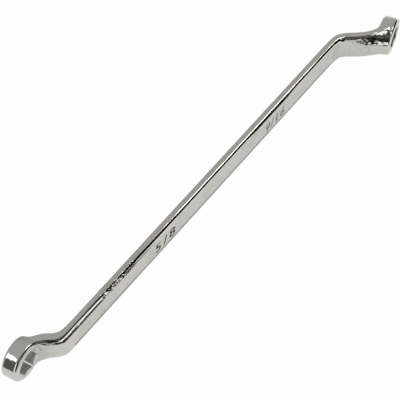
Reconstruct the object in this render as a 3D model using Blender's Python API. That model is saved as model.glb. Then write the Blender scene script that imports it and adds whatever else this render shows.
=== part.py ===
"""Drain plug wrench: a flat drop-forged bar, cranked at both ends, with a ring and hexagon socket on each.

Frame: metres, +Z up. The wrench lies on its side. X runs along the shank, the cranks bend in the
XY plane, and Z is square to them. The origin is under the middle of its box, on the surface it lies on.

The steel is one forging. It is shaped here as one control cage under a Subdivision Surface, broached
with Booleans, and then parted into its sections: two rings, two necks and the shank.
"""

from collections import namedtuple
from math import atan2, cos, pi, radians, sin, tan

import bmesh
import bpy
from mathutils import Matrix, Vector

MM = 0.001
INCH = 25.4 * MM

# Shank: a flat bar with rounded edges
SHANK_LENGTH = 301.0 * MM           # between the corner points of the two bends
SHANK_WIDTH = 21.5 * MM             # along Z
SHANK_THICKNESS = 7.0 * MM          # along Y
SHANK_EDGE = 2.2 * MM               # how far the edge rounding reaches into the thickness
SHANK_SHOULDER = 4.5 * MM           # how far it reaches into the width
SHANK_EASING = 0.2                  # how far its corner is eased: 0 is full and 0.5 a plain bevel
BEND_RADIUS = 13.5 * MM             # at the middle of the bar
LOW_BEND_CROWN = 0.9                # how far the bend's outside is filled out towards a sharp corner
HIGH_BEND_CROWN = 0.4

# Necks: from each bend to its ring
NECK_THICKNESS = 10.4 * MM
NECK_EDGE = 2.8 * MM
LOW_NECK_SHOULDER = 6.0 * MM
LOW_NECK_EASING = 0.25
HIGH_NECK_SHOULDER = 9.0 * MM
HIGH_NECK_EASING = 0.35
NECK_LAND = 1.4 * MM                # steel left between the socket and the neck's inner face
LOW_NECK_WIDTH = 23.0 * MM
HIGH_NECK_WIDTH = 22.8 * MM

# Rings: the centre lies reach beyond the bend and drop to one side of the shank
RING_HEIGHT = 11.4 * MM
RING_EDGE = 3.0 * MM                # how far the outer rim's rounding reaches into the wall and the face
FRONT_EDGE = 4.4 * MM               # the same for the rim on the neck's side
LOW_RING_DIAMETER = 27.0 * MM
LOW_RING_REACH = 22.1 * MM
LOW_RING_DROP = 14.3 * MM
LOW_RING_TILT = radians(8.8)        # of the socket, from square to the shank
HIGH_RING_DIAMETER = 27.2 * MM
HIGH_RING_REACH = 28.2 * MM
HIGH_RING_DROP = 23.8 * MM
HIGH_RING_TILT = radians(15.0)

# Sockets: six-point hexagons, right through the rings
LOW_SOCKET = 5 / 8 * INCH           # across flats
HIGH_SOCKET = 9 / 16 * INCH
SOCKET_CLEARANCE = 0.2 * MM         # added to the size across flats
SOCKET_TURN = radians(15.0)         # from having two corners straight across, the lower towards the neck
SOCKET_CHAMFER = 0.7 * MM           # depth of the conical lead-in at both mouths
CHAMFER_ANGLE = radians(30.0)       # of that cone, from the ring's face

# Root, where a neck grows out of its ring
ROOT_ANGLE = radians(65.0)          # half of the ring's circumference that it takes
ROOT_SLANT = 0.27                   # from the land to the neck's middle, as a share of the neck's thickness
ROOT_DIP = 0.15                     # how far its outer edge dips down the wall, in half ring heights
ROOT_BOW = 0.03                     # how much its inner edge bows towards the socket, per cage step
ROOT_SPREAD = 0.9                   # how much of the ring's width its inner edge keeps
ROOT_STEPS = 4                      # faces of the cage across it
FREE_STEPS = 8                      # faces of the cage round the rest of the ring

# Modelling
LAND_STEP = 0.35                    # place of the cage's inner band on a ring's face, from rim to centre
NECK_STATION = 0.55                 # place of the last section before the ring, from bend to root
NECK_PART = 0.4                     # place of the section face between neck and ring, likewise
SUBDIVISIONS = 2
PART_GAP = 0.3 * MM                 # left between neighbouring sections
SAME_POINT = 0.01 * MM              # cage points nearer than this are one
FLAT_LIMIT = radians(0.6)           # faces flatter than this to each other become one
SHARP_LIMIT = radians(35.0)         # edges sharper than this stay crisp
CONE_SIDES = 36
CONE_PROUD = 0.2 * MM               # how far the conical tool stands out of the mouth

# Finish
CHROME = (0.62, 0.62, 0.60, 1.0)
SHANK_ROUGHNESS = 0.20
NECK_ROUGHNESS = 0.16
RING_ROUGHNESS = 0.18

End = namedtuple("End", "size side socket ring_diameter tilt reach drop neck_width shoulder easing crown")
LOW_END = End("5_8", -1, LOW_SOCKET, LOW_RING_DIAMETER, LOW_RING_TILT, LOW_RING_REACH, LOW_RING_DROP,
              LOW_NECK_WIDTH, LOW_NECK_SHOULDER, LOW_NECK_EASING, LOW_BEND_CROWN)
HIGH_END = End("9_16", 1, HIGH_SOCKET, HIGH_RING_DIAMETER, HIGH_RING_TILT, HIGH_RING_REACH, HIGH_RING_DROP,
               HIGH_NECK_WIDTH, HIGH_NECK_SHOULDER, HIGH_NECK_EASING, HIGH_BEND_CROWN)


class Head:
    """One end of the wrench in its own plane: u runs outward along the shank, v to the ring's side."""

    def __init__(self, end):
        self.end = end
        self.radius = end.ring_diameter / 2
        self.half = RING_HEIGHT / 2
        self.corner = (end.socket + SOCKET_CLEARANCE) / 2 / cos(pi / 6)
        # How far the turned hexagon comes towards the neck, and the steel left beside it
        self.land = self.corner * cos(pi / 6 - SOCKET_TURN) + NECK_LAND
        self.bend = Vector((SHANK_LENGTH / 2, 0.0))
        self.centre = self.bend + Vector((end.reach, end.drop))
        self.inward = Vector((-cos(end.tilt), sin(end.tilt)))   # from the ring towards the neck
        self.back = Vector((sin(end.tilt), cos(end.tilt)))      # along the socket, away from the shank
        self.root = self.on_ring(self.land + ROOT_SLANT * NECK_THICKNESS, -self.half)
        run = self.root - self.bend
        self.angle = atan2(run.y, run.x)
        self.bend_run = BEND_RADIUS * tan(self.angle / 2)

    def on_ring(self, inward, back):
        """A point of the bend plane, from the ring's own two directions."""
        return self.centre + self.inward * inward + self.back * back

    def place(self, uv, z):
        """A point of the part's frame, lying on its side with the shank along X."""
        return Vector((self.end.side * uv.x, -self.end.side * uv.y, z))

    def ring_point(self, inward, across, back):
        return self.place(self.on_ring(inward, back), across)

    def ring_matrix(self):
        """Ring frame in the part's frame: X towards the neck, Y down across it, Z along the socket."""
        origin = self.place(self.centre, 0.0)
        inward = self.place(self.inward, 0.0)
        back = self.place(self.back, 0.0)
        turn = Matrix((inward, back.cross(inward), back)).transposed().to_4x4()
        return Matrix.Translation(origin) @ turn


def chrome(name, roughness):
    """Plated steel, as a Principled material."""
    material = bpy.data.materials.new(name)
    material.use_nodes = True
    shader = material.node_tree.nodes["Principled BSDF"]
    shader.inputs["Base Color"].default_value = CHROME
    shader.inputs["Metallic"].default_value = 1.0
    shader.inputs["Roughness"].default_value = roughness
    return material


def bar_section(width, thickness, edge, shoulder, easing):
    """Sixteen cage points of a rounded flat bar: inner face, edge, outer face, edge."""
    w = width / 2
    t = thickness / 2
    reach = min(edge, t)
    corner = (w - easing * shoulder, easing * reach - t)
    inner = [(-corner[0], corner[1]), (shoulder - w, -t), (0.0, -t), (w - shoulder, -t), corner]
    side = [(w, reach - t), (w, 0.0), (w, t - reach)]
    outer = [(-across, -depth) for across, depth in inner]
    other = [(-across, -depth) for across, depth in side]
    return inner + side + outer + other


def between(first, second, share):
    """A section part of the way from one to another."""
    return [(a + (c - a) * share, b + (d - b) * share) for (a, b), (c, d) in zip(first, second)]


def bar_stations(head):
    """Middle points, headings and sections of the bar, from the shank's middle to the ring."""
    start = head.bend - Vector((head.bend_run, 0.0))
    hub = start + Vector((0.0, BEND_RADIUS))
    shank = bar_section(SHANK_WIDTH, SHANK_THICKNESS, SHANK_EDGE, SHANK_SHOULDER, SHANK_EASING)
    neck = bar_section(head.end.neck_width, NECK_THICKNESS, NECK_EDGE, head.end.shoulder,
                       head.end.easing)
    stations = [(Vector((0.0, 0.0)), 0.0, shank), (start - Vector((BEND_RADIUS, 0.0)), 0.0, shank)]
    for part in (0.0, 0.5, 1.0):
        turn = head.angle * part
        middle = hub + BEND_RADIUS * Vector((sin(turn), -cos(turn)))
        stations.append((middle, turn, between(shank, neck, part / 2)))
    crown = head.end.crown * (BEND_RADIUS + SHANK_THICKNESS / 2) * (1 / cos(head.angle / 2) - 1)
    middle, turn, points = stations[-2]
    points = [(across, depth - crown if depth < 0 else depth) for across, depth in points]
    stations[-2] = (middle, turn, points)
    bend_end = stations[-1][0]
    stations.append((bend_end.lerp(head.root, NECK_STATION), head.angle, neck))
    return stations


def add_bar(cage, head):
    """Skin the bar with quads and return the loop of points that meets the ring."""
    previous = None
    for middle, turn, points in bar_stations(head):
        outward = Vector((-sin(turn), cos(turn)))
        loop = [cage.verts.new(head.place(middle + outward * depth, across)) for across, depth in points]
        if previous:
            skin(cage, previous, loop)
        previous = loop
    return previous


def skin(cage, first, second):
    """A band of quads between two closed loops of points."""
    count = len(first)
    for i in range(count):
        j = (i + 1) % count
        cage.faces.new((first[i], first[j], second[j], second[i]))


def rim_angles():
    """Angles round the ring from the neck's middle: across the root first, then round the rest."""
    root = [-ROOT_ANGLE + 2 * ROOT_ANGLE * i / ROOT_STEPS for i in range(ROOT_STEPS)]
    rest = 2 * pi - 2 * ROOT_ANGLE
    return root + [ROOT_ANGLE + rest * i / FREE_STEPS for i in range(FREE_STEPS)]


def in_root(i):
    """Whether a column of the ring's cage lies inside the root."""
    return 0 < i < ROOT_STEPS


def wall_columns(cage, head, radius):
    """Cage points up the ring's wall, one column for each angle, from the inner rim to the outer."""
    half = head.half
    root_back = half - RING_EDGE
    front = FRONT_EDGE - half
    rise = (root_back - front) / (ROOT_STEPS - 1)
    levels = [-half] + [front + rise * i for i in range(ROOT_STEPS)] + [half]
    columns = []
    for i, angle in enumerate(rim_angles()):
        # Across the root only the rim behind the neck is wall, and it dips towards the neck's middle
        heights = [root_back - ROOT_DIP * half * cos(angle), half] if in_root(i) else levels
        spot = (radius * cos(angle), radius * sin(angle))
        columns.append([cage.verts.new(head.ring_point(*spot, back)) for back in heights])
    return columns


def inner_rim(cage, head, radius, columns):
    """The inner face's edge: round the free rim, and straight across the neck beside the socket."""
    rim = []
    for i, angle in enumerate(rim_angles()):
        if in_root(i):
            inward = head.land * (1 - ROOT_BOW * abs(i - ROOT_STEPS / 2))
            across = ROOT_SPREAD * radius * sin(angle)
            rim.append(cage.verts.new(head.ring_point(inward, across, -head.half)))
        else:
            rim.append(columns[i][0])
    return rim


def add_ring(cage, head, neck_loop):
    """Skin the ring as a disc with rounded rims, and grow it into the neck."""
    count = ROOT_STEPS + FREE_STEPS
    # A subdivided polygon shrinks, so its cage stands out by as much
    radius = head.radius * 3 / (2 + cos(2 * pi / count))
    columns = wall_columns(cage, head, radius)
    front = inner_rim(cage, head, radius, columns)

    for i in range(count):
        near = columns[i]
        far = columns[(i + 1) % count]
        if i < ROOT_STEPS:
            near = near[-2:]
            far = far[-2:]
        for (a, b), (c, d) in zip(zip(near, near[1:]), zip(far, far[1:])):
            cage.faces.new((a, c, d, b))

    root_loop = front[:ROOT_STEPS + 1]
    root_loop += columns[ROOT_STEPS][1:-2]
    root_loop += [columns[i][-2] for i in range(ROOT_STEPS, -1, -1)]
    root_loop += columns[0][-3:0:-1]
    skin(cage, neck_loop, root_loop)

    add_face(cage, head, front, -head.half, FRONT_EDGE)
    add_face(cage, head, [column[-1] for column in columns], head.half, RING_EDGE)


def add_face(cage, head, rim, back, edge):
    """Close a flat face of the ring with two bands inside its rim and a fan to its centre."""
    centre = cage.verts.new(head.ring_point(0.0, 0.0, back))
    inset = []
    for point in rim:
        spoke = centre.co - point.co
        inset.append(cage.verts.new(point.co + spoke.normalized() * edge))
    land = [cage.verts.new(point.co.lerp(centre.co, LAND_STEP)) for point in inset]
    skin(cage, rim, inset)
    skin(cage, inset, land)
    count = len(land)
    for i in range(0, count, 2):
        cage.faces.new((land[i], land[i + 1], land[(i + 2) % count], centre))


def forging_cage(heads):
    """The control cage of the whole forging."""
    cage = bmesh.new()
    for head in heads:
        add_ring(cage, head, add_bar(cage, head))
    bmesh.ops.remove_doubles(cage, verts=cage.verts, dist=SAME_POINT)
    bmesh.ops.recalc_face_normals(cage, faces=cage.faces)
    return to_mesh(cage, "forging_cage")


def to_mesh(shape, name):
    mesh = bpy.data.meshes.new(name)
    shape.to_mesh(mesh)
    shape.free()
    return mesh


def add_cutter(tool, name, head):
    """A hidden tool for a Boolean, set on a ring."""
    cutter = bpy.data.objects.new(name, to_mesh(tool, name))
    cutter.matrix_world = head.ring_matrix()
    cutter.hide_render = True
    cutter.display_type = "WIRE"
    bpy.context.collection.objects.link(cutter)
    return cutter


def broach(head):
    """The hexagonal tool of one socket."""
    tool = bmesh.new()
    bmesh.ops.create_cone(tool, cap_ends=True, segments=6, radius1=head.corner, radius2=head.corner,
                          depth=2 * RING_HEIGHT)
    turn = Matrix.Rotation(-SOCKET_TURN, 3, "Z")
    bmesh.ops.rotate(tool, verts=tool.verts, cent=(0, 0, 0), matrix=turn)
    return add_cutter(tool, f"broach_{head.end.size}", head)


def countersink(head, face):
    """The conical tool that breaks one mouth of the socket, as wide as the hexagon's corners there."""
    slope = tan(CHAMFER_ANGLE)
    wide = head.corner + CONE_PROUD / slope
    narrow = head.corner - SOCKET_CHAMFER / slope
    tool = bmesh.new()
    bmesh.ops.create_cone(tool, cap_ends=True, segments=CONE_SIDES, radius1=narrow, radius2=wide,
                          depth=CONE_PROUD + SOCKET_CHAMFER)
    # A quarter of a step keeps the cone's edges off the corners of the hexagon
    quarter = Matrix.Rotation(pi / 2 / CONE_SIDES, 3, "Z")
    bmesh.ops.rotate(tool, verts=tool.verts, cent=(0, 0, 0), matrix=quarter)
    if face < 0:
        bmesh.ops.rotate(tool, verts=tool.verts, cent=(0, 0, 0), matrix=Matrix.Rotation(pi, 3, "X"))
    lift = head.half + (CONE_PROUD - SOCKET_CHAMFER) / 2
    bmesh.ops.translate(tool, verts=tool.verts, vec=(0, 0, face * lift))
    mouth = "outer" if face > 0 else "inner"
    return add_cutter(tool, f"countersink_{head.end.size}_{mouth}", head)


def forged_mesh(heads):
    """The whole forging: subdivided, with both sockets cut."""
    blank = bpy.data.objects.new("forging", forging_cage(heads))
    bpy.context.collection.objects.link(blank)
    smooth = blank.modifiers.new("smooth", "SUBSURF")
    smooth.levels = SUBDIVISIONS
    smooth.render_levels = SUBDIVISIONS
    tools = [tool for head in heads for tool in (broach(head), countersink(head, -1), countersink(head, 1))]
    for tool in tools:
        cut = blank.modifiers.new(tool.name, "BOOLEAN")
        cut.operation = "DIFFERENCE"
        cut.solver = "EXACT"
        cut.object = tool
    graph = bpy.context.evaluated_depsgraph_get()
    mesh = bpy.data.meshes.new_from_object(blank.evaluated_get(graph))
    for used in [blank] + tools:
        bpy.data.objects.remove(used)
    return mesh


def part_plane(head, along):
    """Point and outward direction of a plane square to the bar, a distance from the bend's corner."""
    turn = head.angle if along > 0 else 0.0
    heading = Vector((cos(turn), sin(turn)))
    return head.place(head.bend + heading * along, 0.0), head.place(heading, 0.0)


def trimmed(solid, cuts):
    """A copy of the solid, cut off square at each plane on the side that its normal points to."""
    shape = bmesh.new()
    shape.from_mesh(solid)
    for point, normal in cuts:
        everything = shape.verts[:] + shape.edges[:] + shape.faces[:]
        bmesh.ops.bisect_plane(shape, geom=everything, plane_co=point, plane_no=normal, clear_outer=True)
        bmesh.ops.contextual_create(shape, geom=[edge for edge in shape.edges if edge.is_boundary])
    bmesh.ops.dissolve_limit(shape, angle_limit=FLAT_LIMIT, verts=shape.verts, edges=shape.edges)
    bmesh.ops.recalc_face_normals(shape, faces=shape.faces)
    return shape


def resting_place(solid):
    """Shift that puts the solid's box on the ground with its middle over the origin."""
    low = [min(vertex.co[i] for vertex in solid.vertices) for i in range(3)]
    high = [max(vertex.co[i] for vertex in solid.vertices) for i in range(3)]
    return Vector((-(low[0] + high[0]) / 2, -(low[1] + high[1]) / 2, -low[2]))


def add_piece(name, shape, roughness, shift):
    """One section of the forging as its own named object."""
    mesh = to_mesh(shape, name)
    mesh.materials.append(chrome(f"chrome_{name}", roughness))
    mesh.shade_smooth()
    mesh.set_sharp_from_angle(angle=SHARP_LIMIT)
    piece = bpy.data.objects.new(name, mesh)
    piece.location = shift
    bpy.context.collection.objects.link(piece)


def main():
    for item in list(bpy.data.objects):
        bpy.data.objects.remove(item)
    heads = [Head(LOW_END), Head(HIGH_END)]
    solid = forged_mesh(heads)
    shift = resting_place(solid)
    half_gap = PART_GAP / 2
    shank_cuts = []
    for head in heads:
        size = head.end.size
        neck_end = head.bend_run + NECK_PART * ((head.root - head.bend).length - head.bend_run)
        at_bend, outward = part_plane(head, -head.bend_run - BEND_RADIUS / 2)
        at_ring, onward = part_plane(head, neck_end)
        shank_cuts.append((at_bend - outward * half_gap, outward))
        neck_cuts = [(at_bend + outward * half_gap, -outward), (at_ring - onward * half_gap, onward)]
        ring_cuts = [(at_ring + onward * half_gap, -onward)]
        add_piece(f"neck_{size}", trimmed(solid, neck_cuts), NECK_ROUGHNESS, shift)
        add_piece(f"ring_{size}", trimmed(solid, ring_cuts), RING_ROUGHNESS, shift)
    add_piece("shank", trimmed(solid, shank_cuts), SHANK_ROUGHNESS, shift)


main()
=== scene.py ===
"""Drain plug wrench in bright chrome plate, lying on its side on a white studio floor."""

from collections import namedtuple
from math import atan2, cos, pi, radians, sin, tan

import bmesh
import bpy
from mathutils import Euler, Matrix, Vector


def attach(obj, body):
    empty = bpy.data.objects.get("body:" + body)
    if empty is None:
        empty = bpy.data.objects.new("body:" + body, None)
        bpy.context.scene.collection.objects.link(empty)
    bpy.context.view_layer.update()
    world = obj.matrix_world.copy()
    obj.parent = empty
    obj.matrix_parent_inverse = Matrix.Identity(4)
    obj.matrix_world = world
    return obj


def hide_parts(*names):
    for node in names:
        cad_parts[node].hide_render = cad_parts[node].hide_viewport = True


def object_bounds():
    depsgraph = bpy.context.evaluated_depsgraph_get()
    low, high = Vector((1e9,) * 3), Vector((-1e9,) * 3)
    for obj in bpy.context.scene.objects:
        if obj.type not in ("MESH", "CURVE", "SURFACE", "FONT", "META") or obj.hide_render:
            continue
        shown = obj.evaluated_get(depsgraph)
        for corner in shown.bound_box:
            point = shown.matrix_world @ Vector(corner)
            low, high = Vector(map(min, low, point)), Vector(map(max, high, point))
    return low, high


MM = 0.001
INCH = 25.4 * MM

# Shank
SHANK_LENGTH = 301.0 * MM
SHANK_WIDTH = 21.5 * MM
SHANK_THICKNESS = 7.0 * MM
SHANK_EDGE = 2.2 * MM
SHANK_SHOULDER = 4.5 * MM
SHANK_EASING = 0.2
WORN_START = 62.0 * MM
BEND_RADIUS = 13.5 * MM

# Necks
NECK_THICKNESS = 10.4 * MM
NECK_EDGE = 2.8 * MM
NECK_LAND = 1.4 * MM

# Rings and sockets
RING_HEIGHT = 11.4 * MM
RING_EDGE = 3.0 * MM
FRONT_EDGE = 4.4 * MM
SOCKET_CLEARANCE = 0.2 * MM
SOCKET_TURN = radians(15.0)
SOCKET_CHAMFER = 0.7 * MM
SOCKET_FILLET = 0.55 * MM
SOCKET_FILLET_STEPS = 3
CHAMFER_ANGLE = radians(30.0)

# How a socket's walls and flats are told by their normals
WALL_LEAN = 0.2
FLAT_MATCH = 0.9

# Root, where a neck grows out of its ring
ROOT_ANGLE = radians(65.0)
ROOT_SLANT = 0.27
ROOT_DIP = 0.15
ROOT_BOW = 0.03
ROOT_SPREAD = 0.9
ROOT_STEPS = 4
FREE_STEPS = 8

# Cage and cutters
UPPER_CORNER = 4
LAND_STEP = 0.35
NECK_STATION = 0.55
NECK_PART = 0.4
SUBDIVISIONS = 3
SHARP_LIMIT = radians(20.0)
SEAM = 0.05 * MM
WELD = 0.01 * MM
CONE_SIDES = 72
CONE_PROUD = 0.2 * MM

# Ends
End = namedtuple("End", "size side socket ring_diameter tilt reach drop neck_width shoulder easing"
                 " crown worn")
LOW_END = End(
    size="5_8", side=-1, socket=5 / 8 * INCH, ring_diameter=27.0 * MM, tilt=radians(8.8), reach=22.1 * MM,
    drop=14.3 * MM, neck_width=23.0 * MM, shoulder=6.0 * MM, easing=0.25, crown=0.9, worn=0.5)
HIGH_END = End(
    size="9_16", side=1, socket=9 / 16 * INCH, ring_diameter=27.2 * MM, tilt=radians(15.0), reach=28.2 * MM,
    drop=23.8 * MM, neck_width=22.8 * MM, shoulder=9.0 * MM, easing=0.35, crown=0.4, worn=0.2)

# Size marks, stamped into the shank's face
STAMP_DEPTH = 0.35 * MM
STAMP_SLANT = 0.1
STAMP_BLOWS = ((-0.3 * MM, STAMP_DEPTH), (0.3 * MM, STAMP_DEPTH + 0.05 * MM))
STAMP_REACH = 16.0 * MM
STAMP_RISE = 5.0 * MM
STAMP_SKIN = 0.25 * MM
STAMP_STEPS = 6
FIGURE_SHARE = 0.73
Stamp = namedtuple("Stamp", "text along height spread")
STAMPS = (
    Stamp("5/8", -53.5 * MM, 9.0 * MM, 1.4),
    Stamp("9/16", 68.0 * MM, 8.6 * MM, 1.12),
)

# Material slots of a piece after the first, which is the plate
SATIN, RECESS, CORNER = 1, 2, 3

# Where the plate is uneven: stretches of the length and of the height
LOW_NECK = (-120.0 * MM, -152.0 * MM)
HIGH_NECK = (128.0 * MM, 150.0 * MM)
UPPER_HALF = (-1.0 * MM, 6.0 * MM)
RIDGE = (5.5 * MM, 8.5 * MM)
ROUGH_PLACE = -98.0 * MM
ROUGH_REACH = (21.5 * MM, 9.2 * MM)
RELIEF = 0.22 * MM
MIDDLE = (-10.0 * MM, 10.0 * MM)

# Cards that show in the plate: one bent round the front, black over a white band, and two at its left end
LIFT = 1.0 * MM
CARD_HALF = 190.0 * MM
CARD_GAP = 90.0 * MM
CARD_HEIGHT = 400.0 * MM
CARD_END_HEIGHT = 110.0 * MM
CARD_START = radians(194.0)
CARD_FRONT = radians(270.0)
CARD_END = radians(360.0)
CARD_STEPS = 12
SIDE_START = radians(140.0)
SIDE_END = radians(178.0)
WHITE_HIGH = 34.0 * MM
WHITE_LOW = 28.0 * MM
WHITE_DROP = 12
WHITE_FADE = 12.0 * MM
WHITE_END = -86.0 * MM
WHITE_NEXT = -50.0 * MM
WHITE_STOP = 85.0 * MM
WHITE_AGAIN = 138.0 * MM

# A small white flag over the upper neck, edge on to the shank
FLAG_PLACE = Vector((143.0, -78.0, 98.0)) * MM
FLAG_RUN = Vector((0.528, -0.628, 0.572)) * 36.0 * MM
FLAG_RISE = Vector((0.34, 0.70, 0.62)) * 56.0 * MM

# Flat cards on the floor, of which the back one slopes up
FloorCard = namedtuple("FloorCard", "name finish left right near far rise")
FLOOR_CARDS = (
    FloorCard("low_floor_card", "black_card", -225.0 * MM, -50.0 * MM, -30.0 * MM, -90.0 * MM, 0.0),
    FloorCard("high_floor_card", "black_card", 75.0 * MM, 128.0 * MM, -50.0 * MM, -90.0 * MM, 0.0),
    FloorCard("back_card", "grey_card", -190.0 * MM, 250.0 * MM, 35.0 * MM, 300.0 * MM, 60.0 * MM),
    # The last card is a painted shadow: a grey sheet under the shank that the plate's lower edge reflects
    # in place of the floor's shadow
    FloorCard("painted_shadow_card", "painted_shadow_grey", -145.0 * MM, 145.0 * MM, -0.5 * MM, 12.0 * MM, 0.0),
)
BLACK = 0.01
# The grey of the sheet under the shank is a painted shadow; the other cards are studio reflectors
CARD_GLOW = {"white_card": 1.45, "grey_card": 0.42, "painted_shadow_grey": 0.45, "dim_card": 0.12}

# Studio, in metres
Softbox = namedtuple("Softbox", "name place width height radiance target")
SOFTBOXES = (
    Softbox("top", Vector((0.46, -0.12, 0.80)), 0.36, 0.12, 5.0, Vector((0.46, -0.12, 0.0))),
    Softbox("front", Vector((-0.45, -0.85, 0.80)), 0.90, 0.70, 3.4, Vector((0.0, 0.0, 0.0))),
    Softbox("side", Vector((-0.72, 0.30, 0.66)), 0.36, 0.32, 3.0, Vector((0.0, 0.0, 0.0))),
)
FLOOR_WIDTH = 12.0
FLOOR_WHITE = 0.95
FLOOR_GLOW_SEEN = 0.96
FLOOR_GLOW_REFLECTED = 0.3
SKY = 0.52

# Camera
CAMERA_PLACE = (-0.33713, -0.26681, 0.66330)
CAMERA_TURN = (32.696, 1.516, -52.135)
CAMERA_LENS = 104.59
CAMERA_SENSOR = 36.0
CAMERA_CLIP = 0.01


class Head:
    """One end of the wrench in its own plane: u runs outward along the shank, v to the ring's side."""

    def __init__(self, end):
        self.end = end
        self.radius = end.ring_diameter / 2
        self.half = RING_HEIGHT / 2
        self.corner = (end.socket + SOCKET_CLEARANCE) / 2 / cos(pi / 6)
        self.land = self.corner * cos(pi / 6 - SOCKET_TURN) + NECK_LAND
        self.bend = Vector((SHANK_LENGTH / 2, 0.0))
        self.centre = self.bend + Vector((end.reach, end.drop))
        self.inward = Vector((-cos(end.tilt), sin(end.tilt)))
        self.back = Vector((sin(end.tilt), cos(end.tilt)))
        self.root = self.on_ring(self.land + ROOT_SLANT * NECK_THICKNESS, -self.half)
        run = self.root - self.bend
        self.angle = atan2(run.y, run.x)
        self.bend_run = BEND_RADIUS * tan(self.angle / 2)

    def on_ring(self, inward, back):
        return self.centre + self.inward * inward + self.back * back

    def place(self, uv, z):
        return Vector((self.end.side * uv.x, -self.end.side * uv.y, z))

    def ring_point(self, inward, across, back):
        return self.place(self.on_ring(inward, back), across)

    def ring_matrix(self):
        origin = self.place(self.centre, 0.0)
        inward = self.place(self.inward, 0.0)
        back = self.place(self.back, 0.0)
        turn = Matrix((inward, back.cross(inward), back)).transposed().to_4x4()
        return Matrix.Translation(origin) @ turn


def bar_section(width, thickness, edge, shoulder, easing):
    """Sixteen cage points of a rounded flat bar: inner face, edge, outer face, edge."""
    w = width / 2
    t = thickness / 2
    reach = min(edge, t)
    corner = (w - easing * shoulder, easing * reach - t)
    inner = [(-corner[0], corner[1]), (shoulder - w, -t), (0.0, -t), (w - shoulder, -t), corner]
    side = [(w, reach - t), (w, 0.0), (w, t - reach)]
    outer = [(-across, -depth) for across, depth in inner]
    other = [(-across, -depth) for across, depth in side]
    return inner + side + outer + other


def with_corner(section, rubbed):
    """The section with its upper corner on the inner face taken from a rubbed one."""
    return section[:UPPER_CORNER] + [rubbed[UPPER_CORNER]] + section[UPPER_CORNER + 1:]


def between(first, second, share):
    return [(a + (c - a) * share, b + (d - b) * share) for (a, b), (c, d) in zip(first, second)]


def bar_stations(head):
    """Middle points, headings and sections of the bar, from the shank's middle to the ring."""
    start = head.bend - Vector((head.bend_run, 0.0))
    hub = start + Vector((0.0, BEND_RADIUS))
    shank = bar_section(SHANK_WIDTH, SHANK_THICKNESS, SHANK_EDGE, SHANK_SHOULDER, SHANK_EASING)
    neck = bar_section(head.end.neck_width, NECK_THICKNESS, NECK_EDGE, head.end.shoulder,
                       head.end.easing)
    rubbed = bar_section(head.end.neck_width, NECK_THICKNESS, NECK_EDGE, head.end.shoulder,
                         max(head.end.easing, head.end.worn))
    neck = with_corner(neck, rubbed)
    eased = bar_section(SHANK_WIDTH, SHANK_THICKNESS, SHANK_EDGE, SHANK_SHOULDER, head.end.worn)
    worn = with_corner(shank, eased)
    stations = [(Vector((0.0, 0.0)), 0.0, shank), (Vector((WORN_START, 0.0)), 0.0, shank),
                (start - Vector((BEND_RADIUS, 0.0)), 0.0, worn)]
    for part in (0.0, 0.5, 1.0):
        turn = head.angle * part
        middle = hub + BEND_RADIUS * Vector((sin(turn), -cos(turn)))
        stations.append((middle, turn, between(worn, neck, part / 2)))
    crown = head.end.crown * (BEND_RADIUS + SHANK_THICKNESS / 2) * (1 / cos(head.angle / 2) - 1)
    middle, turn, points = stations[-2]
    points = [(across, depth - crown if depth < 0 else depth) for across, depth in points]
    stations[-2] = (middle, turn, points)
    bend_end = stations[-1][0]
    stations.append((bend_end.lerp(head.root, NECK_STATION), head.angle, neck))
    return stations


def add_bar(cage, head):
    previous = None
    for middle, turn, points in bar_stations(head):
        outward = Vector((-sin(turn), cos(turn)))
        loop = [cage.verts.new(head.place(middle + outward * depth, across)) for across, depth in points]
        if previous:
            skin(cage, previous, loop)
        previous = loop
    return previous


def skin(cage, first, second):
    count = len(first)
    for i in range(count):
        j = (i + 1) % count
        cage.faces.new((first[i], first[j], second[j], second[i]))


def rim_angles():
    root = [-ROOT_ANGLE + 2 * ROOT_ANGLE * i / ROOT_STEPS for i in range(ROOT_STEPS)]
    rest = 2 * pi - 2 * ROOT_ANGLE
    return root + [ROOT_ANGLE + rest * i / FREE_STEPS for i in range(FREE_STEPS)]


def in_root(i):
    return 0 < i < ROOT_STEPS


def wall_columns(cage, head, radius):
    half = head.half
    root_back = half - RING_EDGE
    front = FRONT_EDGE - half
    rise = (root_back - front) / (ROOT_STEPS - 1)
    levels = [-half] + [front + rise * i for i in range(ROOT_STEPS)] + [half]
    columns = []
    for i, angle in enumerate(rim_angles()):
        heights = [root_back - ROOT_DIP * half * cos(angle), half] if in_root(i) else levels
        spot = (radius * cos(angle), radius * sin(angle))
        columns.append([cage.verts.new(head.ring_point(*spot, back)) for back in heights])
    return columns


def inner_rim(cage, head, radius, columns):
    rim = []
    for i, angle in enumerate(rim_angles()):
        if in_root(i):
            inward = head.land * (1 - ROOT_BOW * abs(i - ROOT_STEPS / 2))
            across = ROOT_SPREAD * radius * sin(angle)
            rim.append(cage.verts.new(head.ring_point(inward, across, -head.half)))
        else:
            rim.append(columns[i][0])
    return rim


def add_ring(cage, head, neck_loop):
    """Skin the ring as a disc with rounded rims, and grow it into the neck."""
    count = ROOT_STEPS + FREE_STEPS
    radius = head.radius * 3 / (2 + cos(2 * pi / count))
    columns = wall_columns(cage, head, radius)
    front = inner_rim(cage, head, radius, columns)

    for i in range(count):
        near = columns[i]
        far = columns[(i + 1) % count]
        if i < ROOT_STEPS:
            near = near[-2:]
            far = far[-2:]
        for (a, b), (c, d) in zip(zip(near, near[1:]), zip(far, far[1:])):
            cage.faces.new((a, c, d, b))

    root_loop = front[:ROOT_STEPS + 1]
    root_loop += columns[ROOT_STEPS][1:-2]
    root_loop += [columns[i][-2] for i in range(ROOT_STEPS, -1, -1)]
    root_loop += columns[0][-3:0:-1]
    skin(cage, neck_loop, root_loop)

    add_face(cage, head, front, -head.half, FRONT_EDGE)
    add_face(cage, head, [column[-1] for column in columns], head.half, RING_EDGE)


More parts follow.
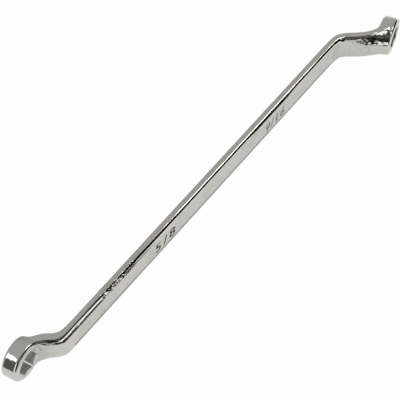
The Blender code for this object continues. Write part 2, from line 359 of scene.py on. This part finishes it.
def add_face(cage, head, rim, back, edge):
    centre = cage.verts.new(head.ring_point(0.0, 0.0, back))
    inset = []
    for point in rim:
        spoke = centre.co - point.co
        inset.append(cage.verts.new(point.co + spoke.normalized() * edge))
    land = [cage.verts.new(point.co.lerp(centre.co, LAND_STEP)) for point in inset]
    skin(cage, rim, inset)
    skin(cage, inset, land)
    count = len(land)
    for i in range(0, count, 2):
        cage.faces.new((land[i], land[i + 1], land[(i + 2) % count], centre))


def forging_cage(heads):
    cage = bmesh.new()
    for head in heads:
        add_ring(cage, head, add_bar(cage, head))
    bmesh.ops.remove_doubles(cage, verts=cage.verts, dist=WELD)
    bmesh.ops.recalc_face_normals(cage, faces=cage.faces)
    return to_mesh(cage, "forging_cage")


def to_mesh(shape, name):
    mesh = bpy.data.meshes.new(name)
    shape.to_mesh(mesh)
    shape.free()
    return mesh


def put(name, data, matrix=Matrix()):
    item = bpy.data.objects.new(name, data)
    item.matrix_world = matrix
    bpy.context.collection.objects.link(item)
    return item


def finished_mesh(item):
    """The mesh of an object with its modifiers applied."""
    graph = bpy.context.evaluated_depsgraph_get()
    return bpy.data.meshes.new_from_object(item.evaluated_get(graph), depsgraph=graph)


def cut(item, tool):
    step = item.modifiers.new(tool.name, "BOOLEAN")
    step.operation = "DIFFERENCE"
    step.solver = "EXACT"
    step.object = tool


def broach(head):
    tool = bmesh.new()
    bmesh.ops.create_cone(tool, cap_ends=True, segments=6, radius1=head.corner, radius2=head.corner,
                          depth=2 * RING_HEIGHT)
    corners = [edge for edge in tool.edges if abs(edge.verts[0].co.z - edge.verts[1].co.z) > RING_HEIGHT]
    bmesh.ops.bevel(tool, geom=corners, offset=SOCKET_FILLET, segments=SOCKET_FILLET_STEPS, profile=0.5,
                    affect="EDGES")
    turn = Matrix.Rotation(-SOCKET_TURN, 3, "Z")
    bmesh.ops.rotate(tool, verts=tool.verts, cent=(0, 0, 0), matrix=turn)
    return put("broach", to_mesh(tool, "broach"), head.ring_matrix())


def countersink(head, face):
    slope = tan(CHAMFER_ANGLE)
    wide = head.corner + CONE_PROUD / slope
    narrow = head.corner - SOCKET_CHAMFER / slope
    tool = bmesh.new()
    bmesh.ops.create_cone(tool, cap_ends=True, segments=CONE_SIDES, radius1=narrow, radius2=wide,
                          depth=CONE_PROUD + SOCKET_CHAMFER)
    quarter = Matrix.Rotation(pi / 2 / CONE_SIDES, 3, "Z")
    bmesh.ops.rotate(tool, verts=tool.verts, cent=(0, 0, 0), matrix=quarter)
    if face < 0:
        bmesh.ops.rotate(tool, verts=tool.verts, cent=(0, 0, 0), matrix=Matrix.Rotation(pi, 3, "X"))
    lift = head.half + (CONE_PROUD - SOCKET_CHAMFER) / 2
    bmesh.ops.translate(tool, verts=tool.verts, vec=(0, 0, face * lift))
    return put("countersink", to_mesh(tool, "countersink"), head.ring_matrix())


def stamp(mark, shift, depth):
    """A cutter of one size mark: slanted figures, standing in the shank's face."""
    words = bpy.data.curves.new("figures", "FONT")
    words.body = mark.text
    words.size = mark.height / FIGURE_SHARE
    words.shear = STAMP_SLANT
    words.space_character = mark.spread
    words.align_x = "CENTER"
    words.align_y = "CENTER"
    words.extrude = depth
    words.resolution_u = STAMP_STEPS
    turn = Matrix.Rotation(pi / 2, 4, "X")
    place = Matrix.Translation((mark.along + shift, -SHANK_THICKNESS / 2, 0.0)) @ turn
    letters = put("letters", words, place)
    tool = put("figures", finished_mesh(letters), place)
    bpy.data.objects.remove(letters)
    return tool


def forged_mesh(heads):
    """The whole forging: subdivided, sockets broached, size marks stamped."""
    blank = put("blank", forging_cage(heads))
    smooth = blank.modifiers.new("smooth", "SUBSURF")
    smooth.levels = SUBDIVISIONS
    smooth.render_levels = SUBDIVISIONS
    tools = [tool for head in heads for tool in (broach(head), countersink(head, -1), countersink(head, 1))]
    tools += [stamp(mark, shift, depth) for mark in STAMPS for shift, depth in STAMP_BLOWS]
    for tool in tools:
        cut(blank, tool)
    mesh = finished_mesh(blank)
    for used in [blank] + tools:
        bpy.data.objects.remove(used)
    return mesh


def mark_sockets(solid, heads):
    """Give the sockets a satin finish, and paint a highlight on the corners of the lower one."""
    for head in heads:
        inverse = head.ring_matrix().inverted()
        for face in solid.polygons:
            spot = inverse @ face.center
            normal = inverse.to_3x3() @ face.normal
            flat = cos(6 * (atan2(normal.y, normal.x) + SOCKET_TURN)) > FLAT_MATCH
            inside = Vector((spot.x, spot.y)).length < head.corner and abs(spot.z) < head.half
            if inside and abs(normal.z) < WALL_LEAN:
                face.material_index = CORNER if head.end == LOW_END and not flat else SATIN
                face.use_smooth = not flat


def mark_stamps(solid):
    """Give the floors of the size marks a dark finish that paints the shade in them. Their walls keep the
    plate.
    """
    face_y = -SHANK_THICKNESS / 2
    for face in solid.polygons:
        spot = face.center
        inside = any(abs(spot.x - mark.along) < STAMP_REACH for mark in STAMPS)
        if inside and STAMP_SKIN < spot.y - face_y < 2 * STAMP_DEPTH and abs(spot.z) < STAMP_RISE:
            face.material_index = RECESS
            face.use_smooth = False


def part_plane(head, along):
    turn = head.angle if along > 0 else 0.0
    heading = Vector((cos(turn), sin(turn)))
    return head.place(head.bend + heading * along, 0.0), head.place(heading, 0.0)


def trimmed(solid, cuts):
    shape = bmesh.new()
    shape.from_mesh(solid)
    for point, normal in cuts:
        everything = shape.verts[:] + shape.edges[:] + shape.faces[:]
        bmesh.ops.bisect_plane(shape, geom=everything, plane_co=point, plane_no=normal, clear_outer=True)
        bmesh.ops.contextual_create(shape, geom=[edge for edge in shape.edges if edge.is_boundary])
    return to_mesh(shape, "section")


def add_piece(node, solid, cuts, finishes, whole, shift):
    """One section, shaded with the whole forging's normals so that no seam shows."""
    mesh = trimmed(solid, cuts)
    mesh.set_sharp_from_angle(angle=SHARP_LIMIT)
    raw = put("raw", mesh)
    seam = raw.vertex_groups.new(name="seam")
    near = [vertex.index for vertex in mesh.vertices
            if any(abs((vertex.co - point).dot(normal)) < SEAM for point, normal in cuts)]
    seam.add(near, 1.0, "REPLACE")
    borrow = raw.modifiers.new("normals", "DATA_TRANSFER")
    borrow.vertex_group = "seam"
    borrow.object = whole
    borrow.use_loop_data = True
    borrow.data_types_loops = {"CUSTOM_NORMAL"}
    borrow.loop_mapping = "POLYINTERP_NEAREST"
    piece = put(f"{node}_plated", finished_mesh(raw), Matrix.Translation(shift))
    finish_of_face = [face.material_index for face in piece.data.polygons]
    piece.data.materials.clear()
    for finish in finishes:
        piece.data.materials.append(finish)
    piece.data.polygons.foreach_set("material_index", finish_of_face)
    bpy.data.objects.remove(raw)
    bpy.context.view_layer.update()
    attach(piece, "root")
    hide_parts(node)
    return piece


class Shade:
    """A socket of a material. Arithmetic on it adds Math nodes."""

    def __init__(self, tree, socket=None):
        self.tree = tree
        self.socket = socket

    def node(self, kind, settings, inputs, out=0):
        """Add any other node: its settings first, then the values or links of its sockets."""
        made = self.tree.nodes.new(kind)
        for name, value in settings.items():
            if name == "stops":
                stops = made.color_ramp.elements
                while len(stops) < len(value):
                    stops.new(0.5)
                for stop, (place, colour) in zip(stops, value):
                    stop.position = place
                    stop.color = colour
            else:
                setattr(made, name, value)
        for name, value in inputs.items():
            if isinstance(value, Shade):
                self.tree.links.new(value.socket, made.inputs[name])
            else:
                made.inputs[name].default_value = value
        return Shade(self.tree, made.outputs[out])

    def math(self, operation, first, second):
        return self.node("ShaderNodeMath", {"operation": operation}, {0: first, 1: second})

    def __add__(self, other):
        return self.math("ADD", self, other)

    def __radd__(self, other):
        return self.math("ADD", other, self)

    def __sub__(self, other):
        return self.math("SUBTRACT", self, other)

    def __rsub__(self, other):
        return self.math("SUBTRACT", other, self)

    def __mul__(self, other):
        return self.math("MULTIPLY", self, other)

    def __rmul__(self, other):
        return self.math("MULTIPLY", other, self)


def new_material(name):
    material = bpy.data.materials.new(name)
    material.use_nodes = True
    return material, material.node_tree.nodes["Principled BSDF"], Shade(material.node_tree)


def feed(shader, socket, value):
    shader.id_data.links.new(value.socket, shader.inputs[socket])


def smooth_step(value, start, end, low=0.0, high=1.0):
    """A mask that goes smoothly from low to high while the value goes from start to end."""
    return value.node("ShaderNodeMapRange", {"interpolation_type": "SMOOTHSTEP"},
                      {0: value, 1: start, 2: end, 3: low, 4: high})


def noise(spot, scale, detail):
    return spot.node("ShaderNodeTexNoise", {}, {"Vector": spot, "Scale": scale, "Detail": detail})


def ramp(value, stops):
    return value.node("ShaderNodeValToRGB", {"stops": stops}, {"Fac": value})


def coordinate(spot, axis):
    return spot.node("ShaderNodeSeparateXYZ", {}, {"Vector": spot}, axis)


def grey(value):
    return (value, value, value, 1)


def chrome_plate():
    """Bright plate over a polished forging, uneven where the polishing wheel doesn't reach."""
    material, shader, shade = new_material("chrome_plate")
    spot = shade.node("ShaderNodeTexCoord", {}, {}, "Object")
    tint = noise(spot, 120.0, 3.0)
    feed(shader, "Base Color", ramp(tint, [
        (0.32, (0.54, 0.56, 0.49, 1)), (0.44, (0.60, 0.605, 0.57, 1)),
        (0.55, (0.61, 0.60, 0.58, 1)), (0.68, (0.65, 0.61, 0.61, 1))]))
    shader.inputs["Metallic"].default_value = 1.0
    feed(shader, "Roughness", 0.06 + 0.14 * noise(spot, 45.0, 2.0))
    height = plate_unevenness(spot)
    relief = shade.node("ShaderNodeBump", {}, {"Strength": 1.0, "Distance": RELIEF, "Height": height})
    feed(shader, "Normal", relief)
    return material


def plate_unevenness(spot):
    """A slow swell, dents drawn out along the necks, and a rough patch on the shank's ridge."""
    along = coordinate(spot, "X")
    height = coordinate(spot, "Z")
    drawn = spot.node("ShaderNodeMapping", {}, {"Vector": spot, "Scale": (0.45, 0.45, 1.0)})
    upper = smooth_step(height, *UPPER_HALF, low=0.1)
    dented = 0.06 + upper * (0.8 * smooth_step(along, *LOW_NECK) + 1.9 * smooth_step(along, *HIGH_NECK))
    away = along - ROUGH_PLACE
    outer, inner = ROUGH_REACH
    rough = smooth_step(away * away, outer * outer, inner * inner, high=2.4) * smooth_step(height, *RIDGE)
    specks = noise(spot, 480.0, 1.0) - 0.5
    return noise(spot, 70.0, 1.0) + dented * noise(drawn, 380.0, 1.5) + rough * specks


def satin_socket():
    """Broached steel with only a breath of plate on it, darker and browner towards the upper end."""
    material, shader, shade = new_material("satin_socket")
    spot = shade.node("ShaderNodeTexCoord", {}, {}, "Object")
    grain = noise(spot, 700.0, 3.0)
    upper_end = smooth_step(coordinate(spot, "X"), *MIDDLE)
    feed(shader, "Base Color", ramp(grain - 0.4 * upper_end, [
        (0.1, (0.03, 0.022, 0.02, 1)), (0.3, grey(0.18)), (0.7, (0.26, 0.26, 0.255, 1))]))
    shader.inputs["Metallic"].default_value = 0.0
    shader.inputs["Specular IOR Level"].default_value = 0.3
    feed(shader, "Roughness", 0.6 + 0.2 * grain)
    return material


def stamp_recess_shade():
    """Figures darkened with painted shade in their recesses, less at the upper end."""
    material, shader, shade = new_material("stamp_recess_shade")
    spot = shade.node("ShaderNodeTexCoord", {}, {}, "Object")
    recess_shade_noise = noise(spot, 500.0, 3.0)
    upper_end = smooth_step(coordinate(spot, "X"), *MIDDLE)
    # Painted shade: dark greys on the recess floors, lighter towards the upper end
    feed(shader, "Base Color", ramp(recess_shade_noise + 0.33 * upper_end, [
        (0.35, grey(0.02)), (0.65, grey(0.12)), (0.95, grey(0.42))]))
    shader.inputs["Metallic"].default_value = 0.0
    shader.inputs["Specular IOR Level"].default_value = 0.1
    shader.inputs["Roughness"].default_value = 0.7
    return material


def painted_glint_corner():
    """Corners of a socket, with a painted highlight: a pale grey that stands in for a reflected glint."""
    material, shader, _ = new_material("painted_glint_corner")
    shader.inputs["Base Color"].default_value = grey(0.9)
    shader.inputs["Roughness"].default_value = 0.5
    return material


def white_floor():
    """A floor that stays white to the camera and in reflections, and keeps a soft shadow."""
    material, shader, shade = new_material("white_floor")
    tree = material.node_tree
    shader.inputs["Base Color"].default_value = grey(FLOOR_WHITE)
    shader.inputs["Roughness"].default_value = 1.0
    shader.inputs["Specular IOR Level"].default_value = 0.0
    seen = shade.node("ShaderNodeLightPath", {}, {}, "Is Camera Ray")
    glossy = shade.node("ShaderNodeLightPath", {}, {}, "Is Glossy Ray")
    clear = shade.node("ShaderNodeLightPath", {}, {}, "Is Transmission Ray")
    glow = shade.node("ShaderNodeEmission", {}, {"Color": grey(1.0), "Strength": 1.0})
    lit = Shade(tree, shader.outputs["BSDF"])
    share = FLOOR_GLOW_SEEN * seen + FLOOR_GLOW_REFLECTED * (glossy + clear)
    mixed = shade.node("ShaderNodeMixShader", {}, {0: share, 1: lit, 2: glow})
    tree.links.new(mixed.socket, tree.nodes["Material Output"].inputs["Surface"])
    return material


def card_finish(name, base, glow):
    material, shader, _ = new_material(name)
    shader.inputs["Base Color"].default_value = grey(base)
    shader.inputs["Emission Color"].default_value = grey(1.0)
    shader.inputs["Emission Strength"].default_value = glow
    shader.inputs["Roughness"].default_value = 1.0
    shader.inputs["Specular IOR Level"].default_value = 0.0
    return material


def facing(place, target):
    """Matrix that stands at a place with its -Z axis towards the target."""
    turn = (target - place).to_track_quat("-Z", "Y").to_matrix().to_4x4()
    return Matrix.Translation(place) @ turn


def add_softbox(box):
    lamp = bpy.data.lights.new(box.name, "AREA")
    lamp.shape = "RECTANGLE"
    lamp.size = box.width
    lamp.size_y = box.height
    lamp.energy = box.radiance * pi * box.width * box.height
    put(box.name, lamp, facing(box.place, box.target))


def add_floor():
    shape = bmesh.new()
    bmesh.ops.create_grid(shape, x_segments=1, y_segments=1, size=FLOOR_WIDTH / 2)
    floor = put("floor", to_mesh(shape, "floor"))
    floor.data.materials.append(white_floor())


def add_card(name, rows, finishes):
    """A card between rows of points, one finish to a band, that shows in the plate and nowhere else."""
    shape = bmesh.new()
    rows = [[shape.verts.new(point) for point in row] for row in rows]
    for band, (low, high) in enumerate(zip(rows, rows[1:])):
        for i in range(len(low) - 1):
            shape.faces.new((low[i], low[i + 1], high[i + 1], high[i])).material_index = band
    item = put(name, to_mesh(shape, name))
    for finish in finishes:
        item.data.materials.append(finish)
    item.visible_camera = False
    item.visible_diffuse = False
    item.visible_shadow = False


def bend(side, start, end):
    """Turns from start to end round one end of the wrench, each with its place on the floor."""
    turns = [start + (end - start) * i / CARD_STEPS for i in range(CARD_STEPS + 1)]
    return [(turn, CARD_GAP * cos(turn) + side * CARD_HALF, CARD_GAP * sin(turn)) for turn in turns]


def front_card_stands():
    """Places along the front card from left to right, each with the tops of its white and black bands."""
    stands = []
    for turn, x, y in bend(-1, CARD_START, CARD_FRONT):
        rise = -sin(turn)
        white_top = LIFT + (WHITE_HIGH - LIFT) * rise ** WHITE_DROP
        stands.append((x, y, white_top, CARD_END_HEIGHT + (CARD_HEIGHT - CARD_END_HEIGHT) * rise))
    for x, white_top in (
            (WHITE_END, WHITE_HIGH), (WHITE_END + WHITE_FADE, LIFT),
            (WHITE_NEXT - WHITE_FADE, LIFT), (WHITE_NEXT, WHITE_LOW),
            (WHITE_STOP, WHITE_LOW), (WHITE_STOP + WHITE_FADE, LIFT),
            (WHITE_AGAIN, LIFT), (WHITE_AGAIN + WHITE_FADE, WHITE_LOW)):
        stands.append((x, -CARD_GAP, white_top, CARD_HEIGHT))
    for turn, x, y in bend(1, CARD_FRONT, CARD_END):
        rise = -sin(turn)
        stands.append((x, y, WHITE_LOW, CARD_END_HEIGHT + (CARD_HEIGHT - CARD_END_HEIGHT) * rise))
    return stands


def add_cards():
    """Cards round the wrench that draw the dark and light lines along the plate."""
    finishes = {name: card_finish(name, 0.0, glow) for name, glow in CARD_GLOW.items()}
    finishes["black_card"] = card_finish("black_card", BLACK, 0.0)
    stands = front_card_stands()
    rows = [[(x, y, LIFT) for x, y, _, _ in stands],
            [(x, y, white_top) for x, y, white_top, _ in stands],
            [(x, y, black_top) for x, y, _, black_top in stands]]
    add_card("front_card", rows, (finishes["white_card"], finishes["black_card"]))
    for name, start, end, finish in (
            ("side_card", SIDE_START, SIDE_END, "dim_card"),
            ("white_strip", SIDE_END, CARD_START, "white_card")):
        rows = [[(x, y, top) for _, x, y in bend(-1, start, end)] for top in (LIFT, CARD_END_HEIGHT)]
        add_card(name, rows, (finishes[finish],))
    rows = [[FLAG_PLACE + FLAG_RISE * up + FLAG_RUN * side for side in (-0.5, 0.5)] for up in (-0.5, 0.5)]
    add_card("flag", rows, (finishes["white_card"],))
    for flat in FLOOR_CARDS:
        rows = [[(flat.left, flat.near, LIFT), (flat.right, flat.near, LIFT)],
                [(flat.left, flat.far, LIFT + flat.rise), (flat.right, flat.far, LIFT + flat.rise)]]
        add_card(flat.name, rows, (finishes[flat.finish],))


def studio():
    add_floor()
    add_cards()
    for box in SOFTBOXES:
        add_softbox(box)
    world = bpy.data.worlds.new("studio")
    bpy.context.scene.world = world
    world.use_nodes = True
    sky = world.node_tree.nodes["Background"]
    sky.inputs["Color"].default_value = grey(SKY)
    sky.inputs["Strength"].default_value = 1.0


def camera():
    lens = bpy.data.cameras.new("camera")
    lens.lens = CAMERA_LENS
    lens.sensor_width = CAMERA_SENSOR
    lens.clip_start = CAMERA_CLIP
    turn = Euler([radians(angle) for angle in CAMERA_TURN]).to_matrix().to_4x4()
    bpy.context.scene.camera = put("camera", lens, Matrix.Translation(CAMERA_PLACE) @ turn)


def fit_to_box(solid, cad_box):
    """Shrink the forging to the CAD box where it is larger. Returns the shift into that box."""
    low = [min(vertex.co[i] for vertex in solid.vertices) for i in range(3)]
    high = [max(vertex.co[i] for vertex in solid.vertices) for i in range(3)]
    middle = [(a + b) / 2 for a, b in zip(low, high)]
    fit = [min(1.0, (d - c) / (b - a)) for a, b, c, d in zip(low, high, *cad_box)]
    for vertex in solid.vertices:
        vertex.co = [m + (x - m) * share for x, m, share in zip(vertex.co, middle, fit)]
    return Vector([(c + d - a - b) / 2 for a, b, c, d in zip(low, high, *cad_box)])


def wrench(cad_box):
    heads = [Head(LOW_END), Head(HIGH_END)]
    solid = forged_mesh(heads)
    solid.shade_smooth()
    solid.set_sharp_from_angle(angle=SHARP_LIMIT)
    shift = fit_to_box(solid, cad_box)
    mark_sockets(solid, heads)
    mark_stamps(solid)
    whole = put("whole", solid)
    finishes = (chrome_plate(), satin_socket(), stamp_recess_shade(), painted_glint_corner())
    shank_cuts = []
    for head in heads:
        size = head.end.size
        neck_end = head.bend_run + NECK_PART * ((head.root - head.bend).length - head.bend_run)
        at_bend, outward = part_plane(head, -head.bend_run - BEND_RADIUS / 2)
        at_ring, onward = part_plane(head, neck_end)
        shank_cuts.append((at_bend, outward))
        add_piece(f"neck_{size}", solid, [(at_bend, -outward), (at_ring, onward)], finishes, whole, shift)
        add_piece(f"ring_{size}", solid, [(at_ring, -onward)], finishes, whole, shift)
    add_piece("shank", solid, shank_cuts, finishes, whole, shift)
    bpy.data.objects.remove(whole)


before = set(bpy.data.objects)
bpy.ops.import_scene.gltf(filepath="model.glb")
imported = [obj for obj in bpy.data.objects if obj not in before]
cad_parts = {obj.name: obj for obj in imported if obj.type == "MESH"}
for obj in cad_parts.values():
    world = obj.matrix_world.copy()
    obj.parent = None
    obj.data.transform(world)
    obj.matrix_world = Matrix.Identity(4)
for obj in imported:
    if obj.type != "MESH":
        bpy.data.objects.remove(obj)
cad_box = [list(corner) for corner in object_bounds()]
bpy.context.scene.view_settings.view_transform = "Standard"
wrench(cad_box)
studio()
camera()
